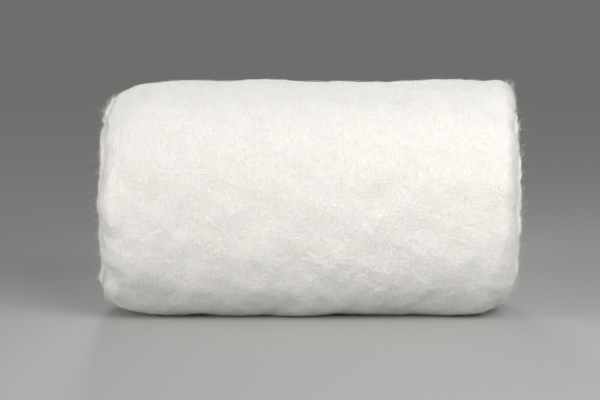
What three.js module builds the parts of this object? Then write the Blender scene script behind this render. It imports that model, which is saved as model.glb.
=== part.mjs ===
// A roll of quilt batting: one needled cotton sheet, folded lengthwise into a pack of five layers
// and wound up, lying on its side. Both ends are drawn in at the shoulders and show the winding.
// Millimetres. +X runs along the roll, its front faces -Y, and +Z is up from the flat it rests on.
import * as THREE from "three";

// Driving dimensions.
const SHEET = { width: 2286, length: 2743 };
const FOLDED_LAYERS = 5;
const ROLL = { length: SHEET.width / FOLDED_LAYERS, depth: 268, height: 256 };
const SQUARENESS = 2.35; // exponent of the outline: 2 is an ellipse, more is boxier
const REST_SINK = 4.5; // how far the roll's own weight flattens its underside
const REST_EASE = 2.5; // height over which the flat eases into the round

// The winding. Angles are in degrees from the top, over the front (90) and the underside (180) to
// the back (270). The sheet's outer end comes over the top and lies against the back.
const TAIL_DEG = 252;
const TAIL_TAPER = 72; // length over which the pack thins out, layer by layer, to its end
const CORE_TURNS = 0.1; // radius of the middle that holds no winding, in turns
const CORE_FLATTENING = 0.4; // how far the innermost turns are pressed flat

// The ends.
const END_DOME = 4; // how far the middle of an end stands out past its rim
const RIM_DEG = 55; // how far the outermost turn reaches round the shoulder before its edge
const TURN_GROOVE = 6; // depth of the furrow between two turns
const TURN_WANDER = 1.8; // how far a turn's edge strays in and out
const WANDER_WAVES = 3; // how many times it does so, once round
const FOLD_FADE = 4; // how fast the outside's folds fade out towards the middle of an end
const CORE_HOLLOW = { depth: 14, turns: 0.3 }; // the hollow in the middle, and how far it is off it

// The shoulders: how far each end is rounded along the roll, and how far inwards.
const SHOULDERS = {
  left: [
    { at: "top", along: 78, inwards: 28 },
    { at: "front", along: 16, inwards: 27 },
    { at: "underside", along: 74, inwards: 23 },
    { at: "back", along: 30, inwards: 32 },
  ],
  right: [
    { at: "top", along: 13, inwards: 13 },
    { at: "front", along: 19, inwards: 46 },
    { at: "underside", along: 60, inwards: 34 },
    { at: "back", along: 26, inwards: 34 },
  ],
};

// Soft folds pressed into the outside. x is from the middle of the roll and deg round it, slant
// turns the fold from along the roll towards round it, and a negative depth is a ridge.
const FOLDS = [
  { x: -210, deg: 92, length: 24, width: 10, slant: 53, depth: -3 },
  { x: -221, deg: 100, length: 16, width: 11, slant: 10, depth: 3 },
  { x: -222, deg: 121, length: 18, width: 13, slant: 15, depth: 4.5 },
  { x: -216, deg: 136, length: 18, width: 12, slant: 75, depth: -3 },
  { x: -202, deg: 128, length: 26, width: 11, slant: 78, depth: 3.5 },
  { x: -206, deg: 68, length: 36, width: 13, slant: 60, depth: 3 },
  { x: 214, deg: 148, length: 24, width: 13, slant: 40, depth: 3.5 },
  { x: 214, deg: 40, length: 26, width: 12, slant: 30, depth: 2.5 },
  { x: -190, deg: 300, length: 40, width: 15, slant: 50, depth: 4.5 },
  { x: 188, deg: 316, length: 36, width: 14, slant: 130, depth: 3.5 },
];

// The long, low waves that keep the outside from being even: length along the roll, waves round it.
const WAVES = [
  { height: 0.6, length: 260, round: 2, phase: 0 },
  { height: 0.5, length: 420, round: -3, phase: 75 },
];

// How finely the form is divided.
const TAIL_STEPS = 9;
const TURN_STEPS = 72;
const PACK_STEPS = 3;
const SHOULDER_ROWS = 5;
const BARREL_ROWS = 16;
const ROWS = BARREL_ROWS + 2 * SHOULDER_ROWS;

const TURN = 2 * Math.PI;
const QUARTER = TURN / 4;
const { clamp, degToRad, euclideanModulo, lerp, smoothstep } = THREE.MathUtils;

// Wound up, the sheet's length fills the section, which gives the number of turns and their pitch.
const MEAN_RADIUS = (ROLL.depth + ROLL.height) / 4;
const OUTER_TURNS = SHEET.length / (Math.PI * MEAN_RADIUS);
const STEPS = Math.round((OUTER_TURNS - 1 - CORE_TURNS) * TURN_STEPS);
const TAIL_SHARE = TAIL_TAPER / (TURN * MEAN_RADIUS);
const LAST_LAYER = 1 / FOLDED_LAYERS;

// Each turn lies one pack further in, so the half sizes are a little over half of the whole ones.
const turnsPast = (deg) => euclideanModulo(deg - TAIL_DEG, 360) / 360;
const HALF_HEIGHT = (ROLL.height + REST_SINK) / (2 - (turnsPast(0) + turnsPast(180)) / OUTER_TURNS);
const HALF_DEPTH = ROLL.depth / (2 - (turnsPast(90) + turnsPast(270)) / OUTER_TURNS);
const REST_LEVEL = REST_SINK - HALF_HEIGHT * (1 - turnsPast(180) / OUTER_TURNS);

// Distance from the axis to a full outline at an angle.
function outlineRadius(angle) {
  const across = Math.abs(Math.sin(angle)) / HALF_DEPTH;
  const up = Math.abs(Math.cos(angle)) / HALF_HEIGHT;
  return (across ** SQUARENESS + up ** SQUARENESS) ** (-1 / SQUARENESS);
}

// Steps run inwards along the pack from its outer end, and are closer together over its taper.
function turnsBack(step) {
  const turns = Math.floor(step / TURN_STEPS);
  const rest = step % TURN_STEPS;
  if (rest < TAIL_STEPS) return turns + (TAIL_SHARE * rest) / TAIL_STEPS;
  return turns + lerp(TAIL_SHARE, 1, (rest - TAIL_STEPS) / (TURN_STEPS - TAIL_STEPS));
}

const angleAt = (step) => (degToRad(TAIL_DEG) + TURN * turnsBack(step)) % TURN;
const innerTurns = (step) => OUTER_TURNS - 1 - turnsBack(step);

// Share of its full thickness that the pack has at a step.
function fullness(step) {
  if (step === 0) return 0;
  return lerp(LAST_LAYER, 1, smoothstep(step, 0, TAIL_STEPS));
}

// A shoulder's two measures at an angle, eased from one quarter of the outline to the next.
function shoulderAt(side, angle) {
  const rows = SHOULDERS[side];
  const quarter = Math.floor(angle / QUARTER);
  const share = smoothstep(angle / QUARTER - quarter, 0, 1);
  const from = rows[quarter % 4];
  const to = rows[(quarter + 1) % 4];
  return {
    along: lerp(from.along, to.along, share),
    inwards: lerp(from.inwards, to.inwards, share),
  };
}

// How far the outside lies in from its even form, at a place along and round the roll.
function unevenness(x, angle) {
  let depth = 0;
  for (const wave of WAVES) {
    const phase = (TURN * x) / wave.length + wave.round * angle + degToRad(wave.phase);
    depth += wave.height * Math.sin(phase);
  }
  for (const fold of FOLDS) {
    const turned = euclideanModulo(angle - degToRad(fold.deg) + TURN / 2, TURN) - TURN / 2;
    const place = new THREE.Vector2(x - fold.x, turned * MEAN_RADIUS);
    place.rotateAround(new THREE.Vector2(), -degToRad(fold.slant));
    depth += fold.depth * Math.exp(-((place.x / fold.length) ** 2) - (place.y / fold.width) ** 2);
  }
  return depth;
}

// Heights near the rest level are pressed up onto it.
function settle(z) {
  const above = z - REST_LEVEL;
  if (above > REST_EASE) return z;
  return REST_LEVEL + Math.max(0, above + REST_EASE) ** 2 / (4 * REST_EASE);
}

// A point of the outside. Row 0 is the left rim and row ROWS the right one, with the shoulders in
// the rows next to them. softness scales the folds and waves.
function outside(step, row, softness = 1) {
  const angle = angleAt(step);
  const half = ROLL.length / 2 - END_DOME;
  const left = shoulderAt("left", angle);
  const right = shoulderAt("right", angle);
  const barrel = (row - SHOULDER_ROWS) / BARREL_ROWS;
  const shoulder = barrel < 0.5 ? left : right;
  const outwards = barrel < 0.5 ? -1 : 1;
  const rowsIn = Math.min(row, ROWS - row);
  const rounding = degToRad(RIM_DEG) * Math.max(0, 1 - rowsIn / SHOULDER_ROWS);
  const middle = lerp(left.along - half, half - right.along, clamp(barrel, 0, 1));
  const x = middle + outwards * shoulder.along * Math.sin(rounding);
  const sunk = softness * unevenness(x, angle);
  let radius = (outlineRadius(angle) * (innerTurns(step) + fullness(step))) / OUTER_TURNS;
  radius -= shoulder.inwards * (1 - Math.cos(rounding)) + sunk * Math.cos(rounding);
  return [
    x - outwards * sunk * Math.sin(rounding),
    -radius * Math.sin(angle),
    settle(radius * Math.cos(angle)),
  ];
}

// A point of an end, on the pack's inner side (layer 0) or further out in it. The end carries the
// shoulder's round on from the rim to a low dome, and is furrowed where one turn meets the next.
function onEnd(side, step, layer) {
  const outwards = side === "left" ? -1 : 1;
  const angle = angleAt(step);
  const rimStep = step % TURN_STEPS;
  const turns = innerTurns(step) + (fullness(step) * layer) / PACK_STEPS;
  const share = turns / (innerTurns(rimStep) + fullness(rimStep));
  const rim = outside(rimStep, side === "left" ? 0 : ROWS, share ** FOLD_FADE);
  const shoulder = shoulderAt(side, angle);
  const rimSine = Math.sin(degToRad(RIM_DEG));
  const rimCosine = Math.cos(degToRad(RIM_DEG));
  const roundedShare = (shoulder.inwards * rimCosine) / Math.hypot(rim[1], rim[2]);
  const cosine = rimCosine * Math.max(0, 1 - (1 - share) / roundedShare);
  let rise = shoulder.along * (Math.sqrt(1 - cosine ** 2) - rimSine);
  rise += END_DOME * (1 - share ** 2);
  rise += TURN_WANDER * (1 - share) * Math.sin(WANDER_WAVES * angle + turns);
  if (layer === 0) rise -= TURN_GROOVE * fullness(step);
  const flattening = CORE_FLATTENING * (1 - share) ** 2;
  return [
    rim[0] + outwards * rise,
    rim[1] * share * (1 + flattening),
    rim[2] * share * (1 - flattening),
  ];
}

// Adds one wound end: a strip that winds inwards from the rim, closed in the middle by a fan.
function addEnd(mesh, side) {
  const outwards = side === "left" ? -1 : 1;
  const rim = [];
  for (let step = 0; step < TURN_STEPS; step++) {
    rim.push(mesh.point(outside(step, side === "left" ? 0 : ROWS)));
  }
  const inner = [[rim[0]]];
  for (let step = 1; step <= STEPS; step++) {
    inner.push([]);
    for (let layer = 0; layer < PACK_STEPS; layer++) {
      inner[step].push(mesh.point(onEnd(side, step, layer)));
    }
  }
  // The pack's outer side is the inner side of the turn before it, or the rim.
  const at = (step, layer) => {
    if (step === 0) return rim[0];
    if (layer < PACK_STEPS) return inner[step][layer];
    return step < TURN_STEPS ? rim[step] : inner[step - TURN_STEPS][0];
  };
  for (let step = 0; step < STEPS; step++) {
    for (let layer = 0; layer < PACK_STEPS; layer++) {
      const near = at(step, layer);
      const nextOut = at(step + 1, layer + 1);
      if (step > 0) mesh.face(outwards, near, at(step, layer + 1), nextOut);
      mesh.face(outwards, near, nextOut, at(step + 1, layer));
    }
  }
  const off = (MEAN_RADIUS / OUTER_TURNS) * CORE_HOLLOW.turns;
  const depth = ROLL.length / 2 - CORE_HOLLOW.depth;
  const angle = angleAt(STEPS);
  const middle = mesh.point([outwards * depth, off * Math.sin(angle), -off * Math.cos(angle)]);
  const start = STEPS - TURN_STEPS + 1;
  for (let step = start; step < STEPS; step++) {
    mesh.face(outwards, middle, at(step, 0), at(step + 1, 0));
  }
  mesh.face(outwards, at(start, 0), middle, at(STEPS, 0));
  for (let layer = 0; layer < PACK_STEPS; layer++) {
    mesh.face(outwards, at(start, 0), at(STEPS, layer), at(STEPS, layer + 1));
  }
  return rim;
}

// Adds the outside, row by row from the left rim to the right one.
function addOutside(mesh, leftRim, rightRim) {
  let last = leftRim;
  for (let row = 1; row <= ROWS; row++) {
    const next = row === ROWS ? rightRim : leftRim.map((_, step) => mesh.point(outside(step, row)));
    for (let step = 0; step < TURN_STEPS; step++) {
      const after = (step + 1) % TURN_STEPS;
      mesh.face(1, last[step], next[after], next[step]);
      mesh.face(1, last[step], last[after], next[after]);
    }
    last = next;
  }
}

// Collects points and faces. A face is turned over where its side of the roll looks the other way.
class Surface {
  points = [];
  faces = [];
  point(place) {
    return this.points.push(place) - 1;
  }
  face(outwards, a, b, c) {
    this.faces.push(a, ...(outwards > 0 ? [b, c] : [c, b]));
  }
  geometry() {
    const geometry = new THREE.BufferGeometry();
    geometry.setAttribute("position", new THREE.Float32BufferAttribute(this.points.flat(), 3));
    geometry.setIndex(this.faces);
    return geometry;
  }
}

// Brings a geometry to the roll's stated size, centred, with its underside on z = 0.
function fitToSize(geometry) {
  geometry.computeBoundingBox();
  const size = geometry.boundingBox.getSize(new THREE.Vector3());
  geometry.scale(ROLL.length / size.x, ROLL.depth / size.y, ROLL.height / size.z);
  const middle = geometry.boundingBox.getCenter(new THREE.Vector3());
  geometry.translate(-middle.x, -middle.y, -geometry.boundingBox.min.z);
  geometry.computeVertexNormals();
  return geometry;
}

// The roll is one closed surface: two wound ends and the outside between them.
function battingRoll() {
  const surface = new Surface();
  const leftRim = addEnd(surface, "left");
  const rightRim = addEnd(surface, "right");
  addOutside(surface, leftRim, rightRim);
  const cotton = new THREE.MeshStandardMaterial({ color: 0xefece4, roughness: 0.95, metalness: 0 });
  const roll = new THREE.Mesh(fitToSize(surface.geometry()), cotton);
  roll.name = "batting_roll";
  return roll;
}

const part = new THREE.Group();
part.add(battingRoll());

export default part;
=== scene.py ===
# A roll of quilt batting: one needled cotton sheet, folded lengthwise into a pack of layers and
# wound up. The ends show the folds and the cut edge of each turn, and loose fibres stand all over.
# Sizes are in millimetres unless a name ends in _M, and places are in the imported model's frame.
import math

import bpy
import numpy as np
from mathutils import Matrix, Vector


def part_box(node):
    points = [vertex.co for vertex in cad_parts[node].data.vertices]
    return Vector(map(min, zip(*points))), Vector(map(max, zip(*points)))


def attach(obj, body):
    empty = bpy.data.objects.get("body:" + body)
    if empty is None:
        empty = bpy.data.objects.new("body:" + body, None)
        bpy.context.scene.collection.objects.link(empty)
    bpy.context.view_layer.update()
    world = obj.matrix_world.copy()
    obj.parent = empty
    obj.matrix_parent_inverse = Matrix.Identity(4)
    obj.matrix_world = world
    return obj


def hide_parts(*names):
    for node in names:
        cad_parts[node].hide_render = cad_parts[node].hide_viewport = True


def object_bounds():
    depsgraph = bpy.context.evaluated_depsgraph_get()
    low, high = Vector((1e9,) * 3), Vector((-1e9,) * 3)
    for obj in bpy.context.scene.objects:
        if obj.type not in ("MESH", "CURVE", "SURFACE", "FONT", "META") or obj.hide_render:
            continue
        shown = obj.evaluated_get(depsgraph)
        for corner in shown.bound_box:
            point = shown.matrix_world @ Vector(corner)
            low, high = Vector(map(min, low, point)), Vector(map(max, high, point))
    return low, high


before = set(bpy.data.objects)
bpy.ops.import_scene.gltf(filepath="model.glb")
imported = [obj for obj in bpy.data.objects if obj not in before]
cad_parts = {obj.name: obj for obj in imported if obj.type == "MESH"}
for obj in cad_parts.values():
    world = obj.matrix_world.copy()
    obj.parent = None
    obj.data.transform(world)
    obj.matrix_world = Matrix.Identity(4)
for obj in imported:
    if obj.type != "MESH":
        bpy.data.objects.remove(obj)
cad_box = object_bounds()

MM = 0.001
TURN = 2 * math.pi
QUARTER = TURN / 4

# The sheet and the roll, as they are cut and wound.
SHEET_WIDTH = 2286
SHEET_LENGTH = 2743
FOLDED_LAYERS = 5
ROLL_LENGTH = SHEET_WIDTH / FOLDED_LAYERS
ROLL_DEPTH = 268
ROLL_HEIGHT = 256
SQUARENESS = 2.35  # exponent of the outline: 2 is an ellipse, more is boxier
REST_SINK = 4.5  # how far the roll's own weight flattens its underside
REST_EASE = 2.5  # height over which the flat eases into the round

# The winding. Angles are in degrees from the top, over the front (90) and the underside (180) to
# the back (270). The sheet's outer end comes over the top and lies against the back.
TAIL_DEG = 252
TAIL_TAPER = 72  # length over which the pack thins out, layer by layer, to its end
LAYER_ROUND = 5  # length over which a layer's end is rounded
TAIL_WAVER = 2.2  # how far a layer's end strays from a straight line
CORE_TURNS = 0.1  # radius of the middle that holds no winding, in turns
CORE_FLATTENING = 0.4  # how far the innermost turns are pressed flat

# The outer ends of the pack's layers.
LAYER_ENDS = [
    # how far back, its waver's length, and its phase
    (0, 330, 0),
    (12, 210, 2),
    (30, 260, 4),
    (42, 150, 1),
    (60, 190, 5),
]

# The ends.
END_DOME = 4  # how far the middle of an end stands out past its rim
RIM_DEG = 55  # how far the outermost turn reaches round the shoulder before its edge
FOLD_FADE = 4  # how fast the outside's folds fade out towards the middle of an end
SLIT = 8  # depth of the slits between the folds
RIM_SIDE = 0.9  # past this place across the outermost turn it is joined to the rim, with no slit
INNER_ROUND = 4  # how far the pack's inner end is rounded off
INNER_ROUND_STEPS = 16  # how many steps it is rounded over

# What shows across the pack on each end, from its inner side (0) to its outer side (1).
EDGES = {
    "left": [(0.0, 0.4, "fold"), (0.4, 0.8, "fold"), (0.8, 1.0, "cut")],
    "right": [(0.0, 0.2, "cut"), (0.2, 0.6, "fold"), (0.6, 1.0, "fold")],
}
FOLD_SAMPLES = 8
CUT_SAMPLES = [-1, -0.75, -0.3, 0.3, 0.75, 1]
CUT_SQUARENESS = 4  # exponent of a cut edge's corners: 2 is round, more is squarer

# The edges stray in and out along the sheet, by waves of these lengths. The phase moves on from
# one edge, and from one wave, to the next.
EDGE_WANDER = 2.2  # how far a fold strays
WANDER_LENGTHS = (310, 173, 97, 61)
EDGE_RAGGED = 0.7  # how far a cut edge is torn
RAGGED_LENGTHS = (43, 31, 22, 18)
EDGE_PHASE = 2.4
WAVE_PHASE = 1.7
END_PHASES = {"left": 0, "right": 3}
WANDER_EASE = 2  # the rim's own edge is even, and the straying grows this fast inwards from it

# The hollow in the middle of each end, beside the pack's inner end.
CORE_DEPTH = 75
CORE_OFF = 0.3  # how far its bottom is off the axis, in turns
CORE_WALL = [
    # how deep, and the share that it narrows by
    (1.5, 0),
    (6, 0.02),
    (20, 0.1),
    (42, 0.3),
    (62, 0.6),
]

# The shoulders: how far each end is rounded along the roll and how far inwards, at the top, the
# front, the underside and the back.
SHOULDERS = {
    "left": {"along": [78, 16, 74, 30], "inwards": [28, 27, 23, 32]},
    "right": {"along": [13, 19, 60, 26], "inwards": [13, 46, 34, 34]},
}

# Soft folds pressed into the outside. The place along the roll is from its middle, the slant turns
# a fold from along the roll towards round it, and a negative depth is a ridge.
FOLDS = [
    # along, degrees round, length, width, slant, depth
    (-210, 92, 24, 10, 53, -3),
    (-221, 100, 16, 11, 10, 3),
    (-222, 121, 18, 13, 15, 4.5),
    (-216, 136, 18, 12, 75, -3),
    (-202, 128, 26, 11, 78, 3.5),
    (-206, 68, 36, 13, 60, 3),
    (214, 148, 24, 13, 40, 3.5),
    (214, 40, 26, 12, 30, 2.5),
    (-190, 300, 40, 15, 50, 4.5),
    (188, 316, 36, 14, 130, 3.5),
]

# Long, low waves of the outside.
WAVES = [
    # height, length along the roll, waves round it, phase in degrees
    (0.6, 260, 2, 0),
    (0.5, 420, -3, 75),
]

# Soft lumps of the wadding: how many waves make them, the waves' lengths, and their height.
LUMP_WAVES = 80
LUMP_LENGTHS = (17, 100)
LUMP_HEIGHT = 2.2
LUMP_SEED = 11

# Gathers: where the outermost turn is drawn in round a shoulder it puckers.
GATHER_DEPTH = 0.3
GATHER_EASE = 1.5  # how late they deepen towards the edge
GATHERS = [
    # how many go round, and their phase
    (17, 0.4),
    (23, 2.1),
    (29, 4.4),
    (38, 5.2),
]

# How finely the roll is divided.
TAIL_STEPS = 60
TURN_STEPS = 224
SHOULDER_ROWS = 26
BARREL_ROWS = 130
ROWS = BARREL_ROWS + 2 * SHOULDER_ROWS

# Loose fibres: single curly hairs of the cotton, held at one end or both. Pairs are ranges.
FIBRE_COUNT = 7000  # on each part of the roll
FIBRE_RADIUS = 0.07
FIBRE_LENGTHS = (5, 16)
FIBRE_HOLD = 0.8  # how deep a fibre's held end lies in the cotton
FIBRE_STANDS = (0.3, 3.2)  # how far a fibre stands out of the cotton
FIBRE_STAND_SHARES = (0.1, 1)  # share of that which it reaches
FIBRE_ARCS = (QUARTER, 2 * QUARTER)  # a quarter of a turn stands up, half a turn comes back down
FIBRE_CURLS = (0.4, 2.4)  # how far it curls aside
FIBRE_WAVES = (2, 5)  # how far round its curl it goes, in radians
FIBRE_TRIM = 0.9  # share of its length lost where it heads straight out of an end
FIBRE_POINTS = 5
FIBRE_SIDES = 3
FIBRE_SEEDS = {"outside": 23, "left": 24, "right": 25}
OUTSIDE_FACING = 0.8  # a face that faces less than this along the roll is on the outside
END_FACING = 0.6  # a face that faces more than this along the roll is on an end

# The cotton: its lighter and darker colour, and the noises that vary it.
COTTON = (0.87, 0.857, 0.825, 1)
COTTON_DEEP = (0.80, 0.772, 0.715, 1)
NOISES = {
    # size, detail, roughness, distortion
    "mottle": (30, 3, 0.6, 0),
    "tuft": (9, 2, 0.5, 0.4),
    "knot": (4.2, 2, 0.6, 0.8),
    "felt": (1.6, 3, 0.6, 1),
}

# The fibres that lie in it: thin lines along the loops of a finer noise.
HAIR_LOOPS = (5.2, 4.1, 3.3)  # sizes of the loops
HAIR_NOISE = (1.5, 0.5, 0.9)  # detail, roughness, distortion
HAIR_FINENESS = 26  # exponent that narrows the lines

# Rows of needling, which run along the sheet.
NEEDLE_PITCH = 4.3
NEEDLE_WANDER = 2.5  # how far a row strays, by the tufts that it runs through

# How much each of them lightens the cotton, and how much it raises it.
SHADES = {"mottle": 0.6, "tuft": 0.3, "knot": 0.4, "felt": 0.25, "tangle": 0.12, "needled": 0.15}
SHADE_OFFSET = 0.25  # brings their sum to the middle of the two colours
HEIGHTS = {"tuft": 0.8, "knot": 0.42, "felt": 0.13, "tangle": 0.12, "needled": 0.12}
RELIEF = 2.2  # what a height of 1 stands for
SCATTER = 2.5  # how far light spreads inside the cotton
FIBRE_PATCHES = (6, 2, 0.5, 0)  # the noise that varies the loose fibres, measured as those above

# Numbers of the sockets of a Mix node that mixes colours.
MIX_INPUTS = (6, 7)
MIX_OUTPUT = 2

# The camera looks along +Y from a little above the middle of the roll.
CAMERA_DISTANCE_M = 1.9
CAMERA_ELEVATION_DEG = 7
LENS_SENSOR = 36
MM_PER_PIXEL = 1.1186  # at the middle of the roll
PICTURE_WIDTH = 600
PICTURE_CENTRE_PIXEL = (300, 200)
ROLL_CENTRE_PIXEL = (309.7, 194.2)

# Softboxes, which all face one point on the roll.
LIGHTS = [
    # name, place and size in metres, power, how wide its grid lets the light spread, in degrees
    ("key", (0.75, -1.35, 1.05), 1.0, 24.5, 180),
    ("left_fill", (-1.6, -0.8, 0.55), 0.9, 1.35, 35),
    ("back_fill", (-0.15, 1.7, 1.0), 0.5, 0.28, 22),
]
LIGHT_TARGET_M = (0, -0.05, 0.1)

# The floor and the room.
FLOOR_SIZE_M = 400
FLOOR_GREY = (0.43, 0.43, 0.425, 1)
ROOM_GREY = (0.32, 0.32, 0.317, 1)

# Wound up, the sheet's length fills the section, which gives the number of turns and their pitch.
MEAN_RADIUS = (ROLL_DEPTH + ROLL_HEIGHT) / 4
OUTER_TURNS = SHEET_LENGTH / (math.pi * MEAN_RADIUS)
PACK = MEAN_RADIUS / OUTER_TURNS
STEPS = round((OUTER_TURNS - 1 - CORE_TURNS) * TURN_STEPS)
TAIL_SHARE = TAIL_TAPER / (TURN * MEAN_RADIUS)
RIM = math.radians(RIM_DEG)
RIM_ROWS = {"left": 0, "right": ROWS}
OUTWARDS = {"left": -1, "right": 1}


def turns_past(degrees):
    """Turns wound from the sheet's outer end to a place round the roll."""
    return (degrees - TAIL_DEG) % 360 / 360


# Each turn lies one pack further in, so the half sizes are a little over half of the whole ones.
HALF_HEIGHT = (ROLL_HEIGHT + REST_SINK) / (2 - (turns_past(0) + turns_past(180)) / OUTER_TURNS)
HALF_DEPTH = ROLL_DEPTH / (2 - (turns_past(90) + turns_past(270)) / OUTER_TURNS)
REST_LEVEL = REST_SINK - HALF_HEIGHT * (1 - turns_past(180) / OUTER_TURNS)


def outline_radius(angle):
    """Distance from the axis to a full outline."""
    across = np.abs(np.sin(angle)) / HALF_DEPTH
    up = np.abs(np.cos(angle)) / HALF_HEIGHT
    return (across**SQUARENESS + up**SQUARENESS) ** (-1 / SQUARENESS)


def turns_back(step):
    """Steps run inwards along the pack from its outer end, closer together over its taper."""
    whole, rest = np.divmod(step, TURN_STEPS)
    return whole + np.interp(rest, [0, TAIL_STEPS, TURN_STEPS], [0, TAIL_SHARE, 1])


def angle_at(step):
    """Angle round the roll."""
    return (math.radians(TAIL_DEG) + TURN * turns_back(step)) % TURN


def inner_turns(step):
    """Distance from the axis to the pack's inner side, in turns."""
    return OUTER_TURNS - 1 - turns_back(step)


def past_end(step):
    """Distance from the sheet's outer end, along the pack."""
    return turns_back(step) * TURN * MEAN_RADIUS


def fullness(past, x=ROLL_LENGTH / 2):
    """Share of its thickness that the pack has, so far past its outer end, at a place x.

    The layers' ends waver most in the middle of the roll, and not at all at its ends.
    """
    freedom = TAIL_WAVER * (1 - (2 * x / ROLL_LENGTH) ** 2)
    layers = 0
    for end, length, phase in LAYER_ENDS:
        waver = freedom * np.sin(TURN * x / length + phase)
        share = np.clip((past + waver - end) / LAYER_ROUND, 0, 1)
        layers = layers + np.sqrt(1 - (1 - share) ** 2)
    return layers / FOLDED_LAYERS


def shoulder_at(side, angle):
    """A shoulder's two measures, eased from one quarter of the outline to the next."""
    quarter, share = np.divmod(angle / QUARTER, 1)
    share = share * share * (3 - 2 * share)
    start = quarter.astype(int) % 4
    measures = []
    for name in ("along", "inwards"):
        values = np.array(SHOULDERS[side][name], float)
        measures.append(values[start] + (values[(start + 1) % 4] - values[start]) * share)
    return measures


def unevenness(x, angle):
    """How far the outside lies in from its even form."""
    depth = 0
    for height, length, around, phase in WAVES:
        depth = depth + height * np.sin(TURN * x / length + around * angle + math.radians(phase))
    for fold_x, degrees, length, width, slant, fold_depth in FOLDS:
        turned = (angle - math.radians(degrees) + TURN / 2) % TURN - TURN / 2
        cosine = math.cos(math.radians(slant))
        sine = math.sin(math.radians(slant))
        along = (x - fold_x) * cosine + turned * MEAN_RADIUS * sine
        across = turned * MEAN_RADIUS * cosine - (x - fold_x) * sine
        depth = depth + fold_depth * np.exp(-((along / length) ** 2) - (across / width) ** 2)
    return depth


def lumps(x, angle):
    """Low waves that cross one another every way, a whole number of them round the roll."""
    random = np.random.default_rng(LUMP_SEED)
    shortest, longest = LUMP_LENGTHS
    depth = 0
    for _ in range(LUMP_WAVES):
        length = shortest * (longest / shortest) ** random.random()
        heading, phase = TURN * random.random(2)
        around = round(TURN * MEAN_RADIUS * math.sin(heading) / length)
        height = LUMP_HEIGHT * length / longest / math.sqrt(LUMP_WAVES)
        depth = depth + height * np.sin(TURN * x * math.cos(heading) / length + around * angle + phase)
    return depth


def gathers(rounding, angle):
    """Puckers of the outermost turn, which deepen towards its edge."""
    total = sum(np.sin(count * angle + phase) for count, phase in GATHERS)
    return GATHER_DEPTH * (rounding / RIM) ** GATHER_EASE * total


def settle(z):
    """Heights near the rest level are pressed up onto it."""
    above = z - REST_LEVEL
    eased = REST_LEVEL + np.maximum(0, above + REST_EASE) ** 2 / (4 * REST_EASE)
    return np.where(above > REST_EASE, z, eased)


def pack_turns(step, x):
    """Distance from the axis to the pack's outer side, in turns, at a place x.

    The sheet's outer end lies over the turn below it and wavers, so the outermost turn is measured
    from that end on both sides of it.
    """
    back = turns_back(step)
    back = np.where(back > 0.5, back - 1, back)
    return OUTER_TURNS - 1 - back + fullness(back * TURN * MEAN_RADIUS, x)


def outside(step, row, shown=1):
    """Points of the outside, where row 0 is the left rim and row ROWS the right one.

    Of its folds, lumps and gathers only the share shown is there.
    """
    angle = angle_at(step)
    half = ROLL_LENGTH / 2 - END_DOME
    barrel = (row - SHOULDER_ROWS) / BARREL_ROWS
    left_along, left_inwards = shoulder_at("left", angle)
    right_along, right_inwards = shoulder_at("right", angle)
    outwards = np.where(barrel < 0.5, -1, 1)
    along = np.where(barrel < 0.5, left_along, right_along)
    inwards = np.where(barrel < 0.5, left_inwards, right_inwards)
    rows_in = np.minimum(row, ROWS - row)
    rounding = RIM * np.maximum(0, 1 - rows_in / SHOULDER_ROWS)
    share = np.clip(barrel, 0, 1)
    middle = (left_along - half) * (1 - share) + (half - right_along) * share
    x = middle + outwards * along * np.sin(rounding)
    sunk = shown * (unevenness(x, angle) + lumps(x, angle) + gathers(rounding, angle))
    radius = outline_radius(angle) * pack_turns(step, x) / OUTER_TURNS
    radius = radius - inwards * (1 - np.cos(rounding)) - sunk * np.cos(rounding)
    x = x - outwards * sunk * np.sin(rounding)
    return np.stack([x, -radius * np.sin(angle), settle(radius * np.cos(angle))], -1)


def samples_across(side):
    """For each sample across the pack: its place, its share of the slit's depth, its edge, and
    whether that edge is cut."""
    rows = []
    for edge, (inner, outer, kind) in enumerate(EDGES[side]):
        if kind == "fold":
            spots = [-math.cos(math.pi * i / FOLD_SAMPLES) for i in range(FOLD_SAMPLES)]
            drops = [1 - math.sqrt(max(0, 1 - spot * spot)) for spot in spots]
        else:
            spots = CUT_SAMPLES[:-1]
            drops = [abs(spot) ** CUT_SQUARENESS for spot in spots]
        for spot, drop in zip(spots, drops):
            rows.append((inner + (outer - inner) * (1 + spot) / 2, drop, edge, kind == "cut"))
    return np.array(rows).T


def wander(distance, edge, phase, lengths):
    """A smooth run of ups and downs along an edge, different for each edge."""
    total = 0
    for index, length in enumerate(lengths):
        turned = edge * EDGE_PHASE + index * WAVE_PHASE + phase
        total = total + np.sin(TURN * distance / length + turned)
    return total / math.sqrt(len(lengths))


def strays(side, step, edge, cut):
    """How far the pack's edges stray outwards, and how far those that are cut are torn."""
    distance = math.pi * MEAN_RADIUS * (OUTER_TURNS - turns_back(step)) ** 2 / OUTER_TURNS
    phase = END_PHASES[side]
    torn = EDGE_RAGGED * cut * wander(distance, edge, phase, RAGGED_LENGTHS)
    return EDGE_WANDER * wander(distance, edge, phase, WANDER_LENGTHS) + torn


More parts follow.
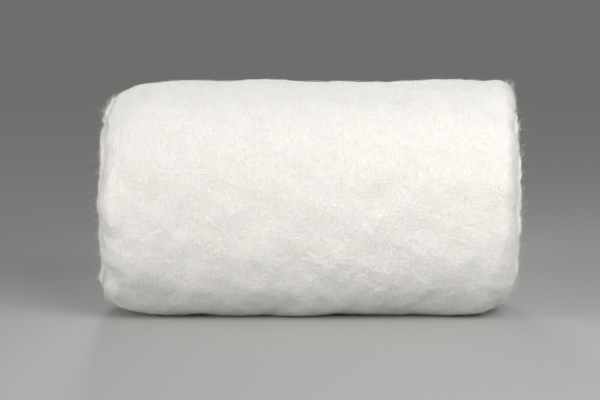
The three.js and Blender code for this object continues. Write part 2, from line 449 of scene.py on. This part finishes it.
def on_end(side, step, across):
    """Points of one end: the shoulder's round, carried on to a low dome, and the pack's edges."""
    place, drop, edge, cut = across
    rim_step = step % TURN_STEPS
    full = fullness(past_end(step))
    turns = inner_turns(step) + full * place
    share = turns / (inner_turns(rim_step) + fullness(past_end(rim_step)))
    rim = outside(rim_step, RIM_ROWS[side], share**FOLD_FADE)
    along, inwards = shoulder_at(side, angle_at(step))
    rounded = inwards * math.cos(RIM) / np.hypot(rim[..., 1], rim[..., 2])
    inset = (1 - share) / rounded
    cosine = math.cos(RIM) * np.maximum(0, 1 - inset)
    rise = along * (np.sqrt(1 - cosine**2) - math.sin(RIM)) + END_DOME * (1 - share**2)
    rise = rise + strays(side, step, edge, cut) * np.clip(inset * WANDER_EASE, 0, 1)
    at_rim = (step < TURN_STEPS) & (place > RIM_SIDE)
    rise = rise - SLIT * drop * full * np.where(at_rim, 0, 1)
    rise = rise - INNER_ROUND * np.clip(1 - (STEPS - step) / INNER_ROUND_STEPS, 0, 1) ** 2
    flattening = CORE_FLATTENING * (1 - share) ** 2
    return np.stack(
        [
            rim[..., 0] + OUTWARDS[side] * rise,
            rim[..., 1] * share * (1 + flattening),
            rim[..., 2] * share * (1 - flattening),
        ],
        -1,
    )


def add_points(points, block):
    """Adds a block of points, and gives their numbers, laid out as the block is."""
    first = sum(len(part) for part in points)
    points.append(block.reshape(-1, 3))
    return first + np.arange(len(points[-1])).reshape(block.shape[:-1])


def add_face(faces, side, *corners):
    """Adds a face of one end. The corners are in the right end's order, and the left's is reversed."""
    faces.append(corners if OUTWARDS[side] > 0 else corners[::-1])


def add_end(points, faces, side):
    """Adds one wound end, and gives the numbers of its rim's points."""
    rim = add_points(points, outside(np.arange(TURN_STEPS), RIM_ROWS[side]))
    across = samples_across(side)
    count = across.shape[1]
    step = np.arange(1, STEPS + 1)[:, None]
    at = np.zeros((STEPS + 1, count + 1), int)
    at[0] = rim[0]
    at[1:, :count] = add_points(points, on_end(side, step, across[:, None, :]))
    # The pack's outer side is the inner side of the turn before it, or the rim.
    at[1:TURN_STEPS, count] = rim[1:]
    at[TURN_STEPS:, count] = at[: STEPS + 1 - TURN_STEPS, 0]
    for k in range(count):
        add_face(faces, side, at[0, 0], at[1, k + 1], at[1, k])
    for j in range(1, STEPS):
        for k in range(count):
            add_face(faces, side, at[j, k], at[j, k + 1], at[j + 1, k + 1], at[j + 1, k])
    innermost = np.concatenate([at[STEPS + 1 - TURN_STEPS : STEPS, 0], at[STEPS]])
    add_core(points, faces, side, innermost)
    return rim


def add_core(points, faces, side, ring):
    """Adds the hollow in the middle. Its wall runs in from the innermost turn and narrows to a tip."""
    angle = angle_at(STEPS)
    off = PACK * CORE_OFF
    bottom = OUTWARDS[side] * (ROLL_LENGTH / 2 - CORE_DEPTH)
    middle = np.array([bottom, off * np.sin(angle), -off * np.cos(angle)])
    edge = np.concatenate(points)[ring]
    for deep, narrowing in CORE_WALL:
        wall = edge + (middle - edge) * (0, narrowing, narrowing) - (OUTWARDS[side] * deep, 0, 0)
        below = add_points(points, wall)
        for i in range(len(ring)):
            add_face(faces, side, below[i - 1], ring[i - 1], ring[i], below[i])
        ring = below
    (tip,) = add_points(points, middle[None])
    for i in range(len(ring)):
        add_face(faces, side, tip, ring[i - 1], ring[i])


def add_outside(points, faces, left_rim, right_rim):
    """Adds the outside between the two rims."""
    row = np.arange(1, ROWS)[:, None]
    between = add_points(points, outside(np.arange(TURN_STEPS), row))
    at = np.concatenate([left_rim[None], between, right_rim[None]])
    for r in range(ROWS):
        for j in range(TURN_STEPS):
            after = (j + 1) % TURN_STEPS
            faces.append((at[r, j], at[r, after], at[r + 1, after], at[r + 1, j]))


def fit_to_box(places):
    """Brings the roll to the size and place of its solid."""
    low, high = (np.array(corner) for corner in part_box("batting_roll"))
    share = (places - places.min(0)) / (places.max(0) - places.min(0))
    return low + share * (high - low)


def make_object(name, places, faces):
    """A smooth object, from places in metres and the numbers of each face's points."""
    mesh = bpy.data.meshes.new(name)
    mesh.from_pydata(places.tolist(), [], [[int(i) for i in face] for face in faces])
    mesh.shade_smooth()
    made = bpy.data.objects.new(name, mesh)
    bpy.context.collection.objects.link(made)
    return made


def make_roll():
    """The whole roll as one closed surface."""
    points, faces = [], []
    left_rim = add_end(points, faces, "left")
    right_rim = add_end(points, faces, "right")
    add_outside(points, faces, left_rim, right_rim)
    return make_object("batting", fit_to_box(np.concatenate(points) * MM), faces)


def unit(ways):
    """The same ways, each one long."""
    return ways / np.linalg.norm(ways, axis=-1, keepdims=True)


def fibre_roots(roll, part, random):
    """Places on one part of the roll, the way that each faces, and the way out of that part."""
    roll.data.calc_loop_triangles()
    points = np.array([vertex.co for vertex in roll.data.vertices]) / MM
    corners = points[np.array([triangle.vertices for triangle in roll.data.loop_triangles])]
    facing = np.cross(corners[:, 1] - corners[:, 0], corners[:, 2] - corners[:, 0])
    area = np.linalg.norm(facing, axis=1)
    facing = facing / area[:, None]
    if part == "outside":
        wanted = area * (abs(facing[:, 0]) < OUTSIDE_FACING)
    else:
        wanted = area * (OUTWARDS[part] * facing[:, 0] > END_FACING)
    chosen = random.choice(len(area), FIBRE_COUNT, p=wanted / sum(wanted))
    shares = random.dirichlet((1, 1, 1), FIBRE_COUNT)
    roots = (corners[chosen] * shares[:, :, None]).sum(1)
    outwards = facing[chosen] if part == "outside" else (OUTWARDS[part], 0, 0)
    return roots, facing[chosen], np.broadcast_to(outwards, roots.shape)


def fibre_paths(roots, facing, outwards, random):
    """The middle of each fibre: it leaves the cotton, curls, and often dips back in."""
    heading = unit(np.cross(facing, random.normal(size=roots.shape)))[:, None]
    facing = facing[:, None]
    aside = np.cross(facing, heading)

    def between(limits):
        """One value for each fibre."""
        return random.uniform(*limits, (len(roots), 1, 1))

    def trimmed(way):
        """Fibres are short where they head straight out of an end, from between two folds."""
        return way * (1 - FIBRE_TRIM * abs((way * outwards[:, None]).sum(-1, keepdims=True)))

    share = np.linspace(0, 1, FIBRE_POINTS)[None, :, None]
    stand = FIBRE_HOLD + between(FIBRE_STANDS) * between(FIBRE_STAND_SHARES)
    height = stand * np.sin(share * between(FIBRE_ARCS)) - FIBRE_HOLD
    wave = between(FIBRE_WAVES)
    phase = between((0, TURN))
    curl = between(FIBRE_CURLS) * (np.sin(share * wave + phase) - np.sin(phase))
    path = roots[:, None] + trimmed(heading) * share * between(FIBRE_LENGTHS)
    path = path + trimmed(aside) * curl + facing * height
    path[..., 2] = np.maximum(path[..., 2], FIBRE_RADIUS)
    return path, facing


def tube_faces(rings):
    """Faces of a closed tube, from the numbers of its rings' points."""
    faces = [rings[0][::-1], rings[-1]]
    for here, ahead in zip(rings, rings[1:]):
        for side in range(FIBRE_SIDES):
            after = (side + 1) % FIBRE_SIDES
            faces.append((here[side], here[after], ahead[after], ahead[side]))
    return faces


def make_fibres(roll, part, seed):
    """The loose fibres of one part of the roll, each a closed tube."""
    random = np.random.default_rng(seed)
    path, facing = fibre_paths(*fibre_roots(roll, part, random), random)
    ahead = np.gradient(path, axis=1)
    aside = unit(np.cross(ahead, facing))
    above = unit(np.cross(ahead, aside))
    turned = (TURN * np.arange(FIBRE_SIDES) / FIBRE_SIDES)[:, None]
    around = np.cos(turned) * aside[:, :, None] + np.sin(turned) * above[:, :, None]
    points = []
    tubes = add_points(points, path[:, :, None] + FIBRE_RADIUS * around)
    faces = [face for rings in tubes for face in tube_faces(rings)]
    return make_object("fibres_" + part, points[0] * MM, faces)


class Value:
    """A node's socket in a sum: each operation adds its Math node."""

    def __init__(self, finish, socket):
        self.finish = finish
        self.socket = socket

    def joined(self, operation, first, second):
        return self.finish.node("ShaderNodeMath", {"operation": operation}, {0: first, 1: second})

    def __add__(self, other):
        return self.joined("ADD", self, other)

    def __radd__(self, other):
        return self.joined("ADD", other, self)

    def __sub__(self, other):
        return self.joined("SUBTRACT", self, other)

    def __rsub__(self, other):
        return self.joined("SUBTRACT", other, self)

    def __mul__(self, other):
        return self.joined("MULTIPLY", self, other)

    def __rmul__(self, other):
        return self.joined("MULTIPLY", other, self)

    def __pow__(self, other):
        return self.joined("POWER", self, other)

    def __abs__(self):
        return self.joined("ABSOLUTE", self, 0)

    def sine(self):
        return self.joined("SINE", self, 0)


class Finish:
    """A material and its nodes."""

    def __init__(self, name):
        self.material = bpy.data.materials.new(name)
        self.material.use_nodes = True
        self.tree = self.material.node_tree
        self.shader = self.tree.nodes["Principled BSDF"]

    def node(self, kind, settings=None, sockets=None, output=0):
        """Adds a node: its settings come first, then its sockets' values or links."""
        node = self.tree.nodes.new(kind)
        for name, value in (settings or {}).items():
            setattr(node, name, value)
        for name, value in (sockets or {}).items():
            self.feed(node.inputs[name], value)
        return Value(self, node.outputs[output])

    def feed(self, socket, value):
        """Links a value to a socket, or sets the socket to a number or a colour."""
        if isinstance(value, Value):
            self.tree.links.new(value.socket, socket)
        else:
            socket.default_value = value

    def set(self, **sockets):
        """Sets the shader's own sockets, named in words joined by underscores."""
        for name, value in sockets.items():
            words = name.replace("_", " ").title().replace("Ior", "IOR")
            self.feed(self.shader.inputs[words], value)

    def place(self):
        """The place on the object, in metres."""
        return self.node("ShaderNodeTexCoord", output="Object")

    def noise(self, place, size, detail, roughness, distortion):
        """A noise of the given size in millimetres."""
        sockets = {"Vector": place, "Scale": 1 / (size * MM), "Detail": detail}
        sockets.update({"Roughness": roughness, "Distortion": distortion})
        return self.node("ShaderNodeTexNoise", {}, sockets)

    def mixed(self, share, start, end):
        """A colour between two others."""
        first, second = MIX_INPUTS
        sockets = {"Factor": share, first: start, second: end}
        return self.node("ShaderNodeMix", {"data_type": "RGBA"}, sockets, MIX_OUTPUT)


def batting_finish():
    """Needled cotton: matt and softly mottled, a tangle of fine fibres with faint rows of needling."""
    finish = Finish("batting")
    place = finish.place()
    x = finish.node("ShaderNodeSeparateXYZ", {}, {"Vector": place}, output="X")
    parts = {name: finish.noise(place, *measures) for name, measures in NOISES.items()}
    row = (x + NEEDLE_WANDER * MM * parts["tuft"]) * (TURN / (NEEDLE_PITCH * MM))
    parts["needled"] = row.sine() * parts["mottle"] ** 2

    def hairs(size):
        """Thin winding lines, along the middle heights of a noise."""
        return (1 - 2 * abs(finish.noise(place, size, *HAIR_NOISE) - 0.5)) ** HAIR_FINENESS

    def weighed(weights):
        """The sum of the parts, each with its weight."""
        return sum(weight * parts[name] for name, weight in weights.items())

    parts["tangle"] = sum(hairs(size) for size in HAIR_LOOPS)
    relief = {"Strength": 0.9, "Distance": RELIEF * MM, "Height": weighed(HEIGHTS)}
    finish.set(
        base_color=finish.mixed(weighed(SHADES) - SHADE_OFFSET, COTTON_DEEP, COTTON),
        normal=finish.node("ShaderNodeBump", {}, relief),
        roughness=0.95,
        specular_ior_level=0.2,
        sheen_weight=0.35,
        sheen_roughness=0.5,
        subsurface_weight=0.25,
        subsurface_radius=(1, 0.95, 0.88),
        subsurface_scale=SCATTER * MM,
    )
    return finish.material


def fibre_finish():
    """Single fibres of the same cotton, some a little darker than others."""
    finish = Finish("fibres")
    patches = finish.noise(finish.place(), *FIBRE_PATCHES)
    finish.set(
        base_color=finish.mixed(patches, COTTON_DEEP, COTTON),
        roughness=0.8,
        specular_ior_level=0.3,
        sheen_weight=0.2,
    )
    return finish.material


def floor_finish():
    """A smooth, matt grey surface."""
    finish = Finish("floor")
    finish.set(base_color=FLOOR_GREY, roughness=0.7, specular_ior_level=0.2)
    return finish.material


def make_camera():
    """The camera that sees the roll as the photo does."""
    elevation = math.radians(CAMERA_ELEVATION_DEG)
    aside = (PICTURE_CENTRE_PIXEL[0] - ROLL_CENTRE_PIXEL[0]) * MM_PER_PIXEL * MM
    below = (PICTURE_CENTRE_PIXEL[1] - ROLL_CENTRE_PIXEL[1]) * MM_PER_PIXEL * MM
    low, high = cad_box
    middle = (low + high) / 2
    data = bpy.data.cameras.new("camera")
    data.sensor_width = LENS_SENSOR
    data.lens = LENS_SENSOR * CAMERA_DISTANCE_M / (PICTURE_WIDTH * MM_PER_PIXEL * MM)
    camera = bpy.data.objects.new("camera", data)
    camera.rotation_euler = (QUARTER - elevation, 0, 0)
    camera.location = (
        middle.x + aside,
        middle.y - CAMERA_DISTANCE_M * math.cos(elevation) - below * math.sin(elevation),
        middle.z + CAMERA_DISTANCE_M * math.sin(elevation) - below * math.cos(elevation),
    )
    bpy.context.collection.objects.link(camera)
    bpy.context.scene.camera = camera


def make_light(name, place, size, power, spread):
    """One softbox."""
    data = bpy.data.lights.new(name, "AREA")
    data.size = size
    data.energy = power
    data.spread = math.radians(spread)
    light = bpy.data.objects.new(name, data)
    light.location = place
    aim = Vector(LIGHT_TARGET_M) - Vector(place)
    light.rotation_euler = aim.to_track_quat("-Z", "Y").to_euler()
    bpy.context.collection.objects.link(light)


def make_floor():
    """A floor so wide that it meets the room at the horizon."""
    half = FLOOR_SIZE_M / 2
    corners = np.array([(-half, -half, 0), (half, -half, 0), (half, half, 0), (-half, half, 0)])
    floor = make_object("floor", corners, [(0, 1, 2, 3)])
    floor.data.materials.append(floor_finish())


def make_room():
    """The even light all round."""
    world = bpy.data.worlds.new("room")
    world.use_nodes = True
    world.node_tree.nodes["Background"].inputs["Color"].default_value = ROOM_GREY
    bpy.context.scene.world = world


roll = make_roll()
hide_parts("batting_roll")
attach(roll, "root")
roll.data.materials.append(batting_finish())

single_fibres = fibre_finish()
for part, seed in FIBRE_SEEDS.items():
    fibres = make_fibres(roll, part, seed)
    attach(fibres, "root")
    fibres.data.materials.append(single_fibres)

make_camera()
make_floor()
make_room()
for light in LIGHTS:
    make_light(*light)
bpy.context.scene.view_settings.view_transform = "Standard"
